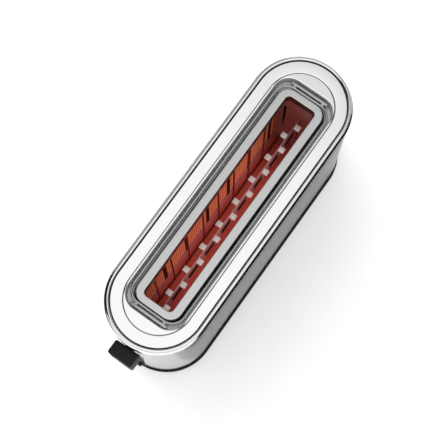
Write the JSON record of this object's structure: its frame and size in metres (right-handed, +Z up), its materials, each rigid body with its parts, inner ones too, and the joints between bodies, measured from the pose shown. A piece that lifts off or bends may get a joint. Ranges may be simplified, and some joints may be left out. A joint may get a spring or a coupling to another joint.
{
  "type": "long-slot toaster",
  "caption": "Upright steel toaster with round ends and one long slot: side lever, browning dial, push buttons, lift-up bun rack and pull-out crumb tray.",
  "frame": {"origin": "on the ground under the middle of the overall length and width, lever knob and tray lip included", "axes": "+X along the slot, away from the lever; +Y across the slot; +Z up"},
  "size_m": [0.3704, 0.109, 0.182],
  "materials": {
    "shell_steel": "brushed stainless sheet, fine grain along the body",
    "cap_steel": "bright satin stainless with a polished rim",
    "frame_steel": "light satin stainless",
    "rack_chrome": "bright chromed wire and bars",
    "chassis_steel": "plain aluminised sheet, dull",
    "carriage_steel": "plain steel strip",
    "wire_steel": "plain drawn wire",
    "rod_steel": "ground rod",
    "clip_steel": "heat-darkened spring strip",
    "screw_steel": "zinc-plated",
    "magnet_iron": "plain iron",
    "insulating_board": "matt mica sheet",
    "heater_alloy": "resistance ribbon, glows orange when on",
    "black_plastic": "fine-grained black moulding",
    "dial_plastic": "satin black moulding",
    "grey_plastic": "plain grey moulding",
    "button_plastic": "satin black moulding",
    "circuit": "green coated board",
    "foot_rubber": "matt soft rubber"
  },
  "bodies": {
    "housing": {"base_plate": "black_plastic", "feet": "foot_rubber", "base_screws": "screw_steel", "shell": "shell_steel", "top_cap": "cap_steel", "top_insert": "cap_steel", "slot_frame": "frame_steel", "guide_rod": "rod_steel", "rod_bracket": "chassis_steel", "lift_spring": "wire_steel", "latch_magnet": "magnet_iron", "lever_slot_liner": "black_plastic", "control_strip": "black_plastic", "dial_bezel": "black_plastic", "dial_potentiometer": "grey_plastic", "potentiometer_bracket": "chassis_steel", "button_housing": "grey_plastic", "switch_board": "circuit", "control_board": "circuit", "board_spacers": "grey_plastic", "terminal_block": "grey_plastic", "cord_gland": "black_plastic", "end_plate_front": "chassis_steel", "end_plate_rear": "chassis_steel", "rack_guides_front": "grey_plastic", "rack_guides_rear": "grey_plastic", "reflector_left": "chassis_steel", "heater_board_left": "insulating_board", "heater_ribbon_left": "heater_alloy", "board_clips_left": "clip_steel", "reflector_right": "chassis_steel", "heater_board_right": "insulating_board", "heater_ribbon_right": "heater_alloy", "board_clips_right": "clip_steel"},
    "carriage": {"bread_carriage": "carriage_steel", "carriage_slider": "grey_plastic", "latch_armature": "magnet_iron", "lever_arm": "carriage_steel", "lever_knob": "black_plastic"},
    "guide_l": {"bread_guide_left": "wire_steel"},
    "guide_r": {"bread_guide_right": "wire_steel"},
    "rack": {"bun_rack": "rack_chrome", "bun_rack_legs": "rack_chrome"},
    "tray": {"crumb_tray": "chassis_steel", "crumb_tray_front": "black_plastic"},
    "dial": {"browning_dial": "dial_plastic", "dial_shaft": "grey_plastic"},
    "stop": {"stop_button": "button_plastic"},
    "defrost": {"defrost_button": "button_plastic"},
    "reheat": {"reheat_button": "button_plastic"}
  },
  "joints": [
    {"name": "carriage_lift", "type": "slide", "parent": "housing", "child": "carriage", "axis": [0, 0, 1], "range_m": [-0.066, 0], "stiffness_N_per_m": 60, "springref_m": 0.05, "deforming": ["lift_spring"]},
    {"name": "guide_left_tilt", "type": "hinge", "parent": "housing", "child": "guide_l", "pos_m": [0.00525, 0.0205, 0.024], "axis": [1, 0, 0], "range_deg": [0, 3.8]},
    {"name": "guide_right_tilt", "type": "hinge", "parent": "housing", "child": "guide_r", "pos_m": [0.00525, -0.0205, 0.024], "axis": [1, 0, 0], "range_deg": [-3.8, 0]},
    {"name": "bun_rack_lift", "type": "slide", "parent": "housing", "child": "rack", "axis": [0, 0, 1], "range_m": [0, 0.035]},
    {"name": "crumb_tray_slide", "type": "slide", "parent": "housing", "child": "tray", "axis": [1, 0, 0], "range_m": [0, 0.3]},
    {"name": "browning_turn", "type": "hinge", "parent": "housing", "child": "dial", "pos_m": [-0.16975, 0, 0.036], "axis": [-1, 0, 0], "range_deg": [0, 270]},
    {"name": "stop_press", "type": "slide", "parent": "housing", "child": "stop", "axis": [-0.866, 0.5, 0], "range_m": [-0.001, 0], "stiffness_N_per_m": 300, "springref_m": 0.003},
    {"name": "defrost_press", "type": "slide", "parent": "housing", "child": "defrost", "axis": [-0.866, 0.5, 0], "range_m": [-0.001, 0], "stiffness_N_per_m": 300, "springref_m": 0.003},
    {"name": "reheat_press", "type": "slide", "parent": "housing", "child": "reheat", "axis": [-0.866, 0.5, 0], "range_m": [-0.001, 0], "stiffness_N_per_m": 300, "springref_m": 0.003}
  ],
  "couplings": [
    {"joint": "guide_left_tilt", "follows": "carriage_lift", "rad_per_m": -1},
    {"joint": "guide_right_tilt", "follows": "carriage_lift", "rad_per_m": 1}
  ]
}
